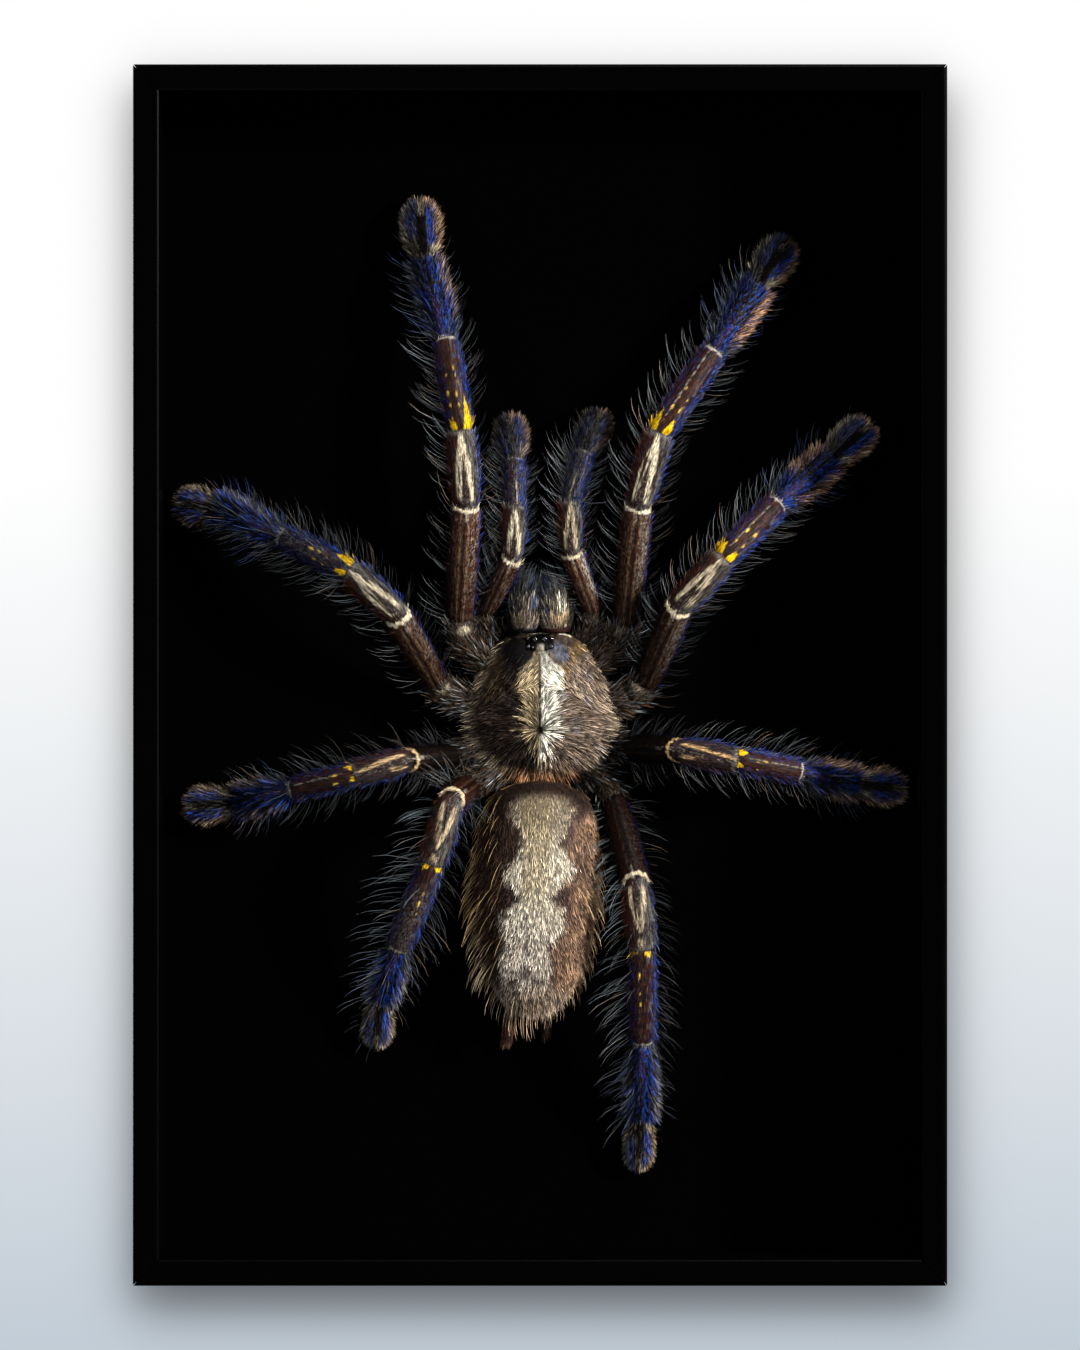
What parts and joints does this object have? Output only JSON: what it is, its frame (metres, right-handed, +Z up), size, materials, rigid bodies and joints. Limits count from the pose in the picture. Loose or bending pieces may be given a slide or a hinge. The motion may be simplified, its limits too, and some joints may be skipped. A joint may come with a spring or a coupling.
{
  "type": "framed tarantula specimen",
  "caption": "Dried tarantula with banded, blue-fringed legs, spread dorsal side out on the black backing board of a slim, deep, open-fronted black box frame.",
  "frame": {"origin": "middle of the frame's underside, on the surface that the frame stands on", "axes": "+X to the viewer's right, +Y from the front to the back of the frame, +Z up, towards the animal's head"},
  "size_m": [0.12, 0.032, 0.18],
  "materials": {
    "frame_black": "black satin lacquer",
    "velvet_black": "black velvet over board",
    "hardboard": "matt brown hardboard",
    "bright_steel": "zinc-bright",
    "carapace_chitin": "short silky hair, tan and cream rays",
    "abdomen_chitin": "dense hair with a scalloped pale folium",
    "chelicera_chitin": "dark hair with cream tufts",
    "spinneret_chitin": "dark brown, fine hair",
    "limb_chitin": "dark brown hair with cobalt blue edges, yellow dots and pale bands"
  },
  "bodies": {
    "root": {"bottom_rail": "frame_black", "right_rail": "frame_black", "top_rail": "frame_black", "left_rail": "frame_black", "backing_board": "velvet_black", "back_panel": "hardboard", "hanger": "bright_steel", "left_hanger_rivet": "bright_steel", "right_hanger_rivet": "bright_steel", "left_upper_frame_point": "bright_steel", "left_lower_frame_point": "bright_steel", "right_upper_frame_point": "bright_steel", "right_lower_frame_point": "bright_steel", "top_frame_point": "bright_steel", "bottom_frame_point": "bright_steel", "carapace": "carapace_chitin", "abdomen": "abdomen_chitin", "left_chelicera": "chelicera_chitin", "right_chelicera": "chelicera_chitin", "left_spinneret": "spinneret_chitin", "right_spinneret": "spinneret_chitin", "left_leg_1": "limb_chitin", "right_leg_1": "limb_chitin", "left_leg_2": "limb_chitin", "right_leg_2": "limb_chitin", "left_leg_3": "limb_chitin", "right_leg_3": "limb_chitin", "left_leg_4": "limb_chitin", "right_leg_4": "limb_chitin", "left_palp": "limb_chitin", "right_palp": "limb_chitin"}
  },
  "joints": []
}
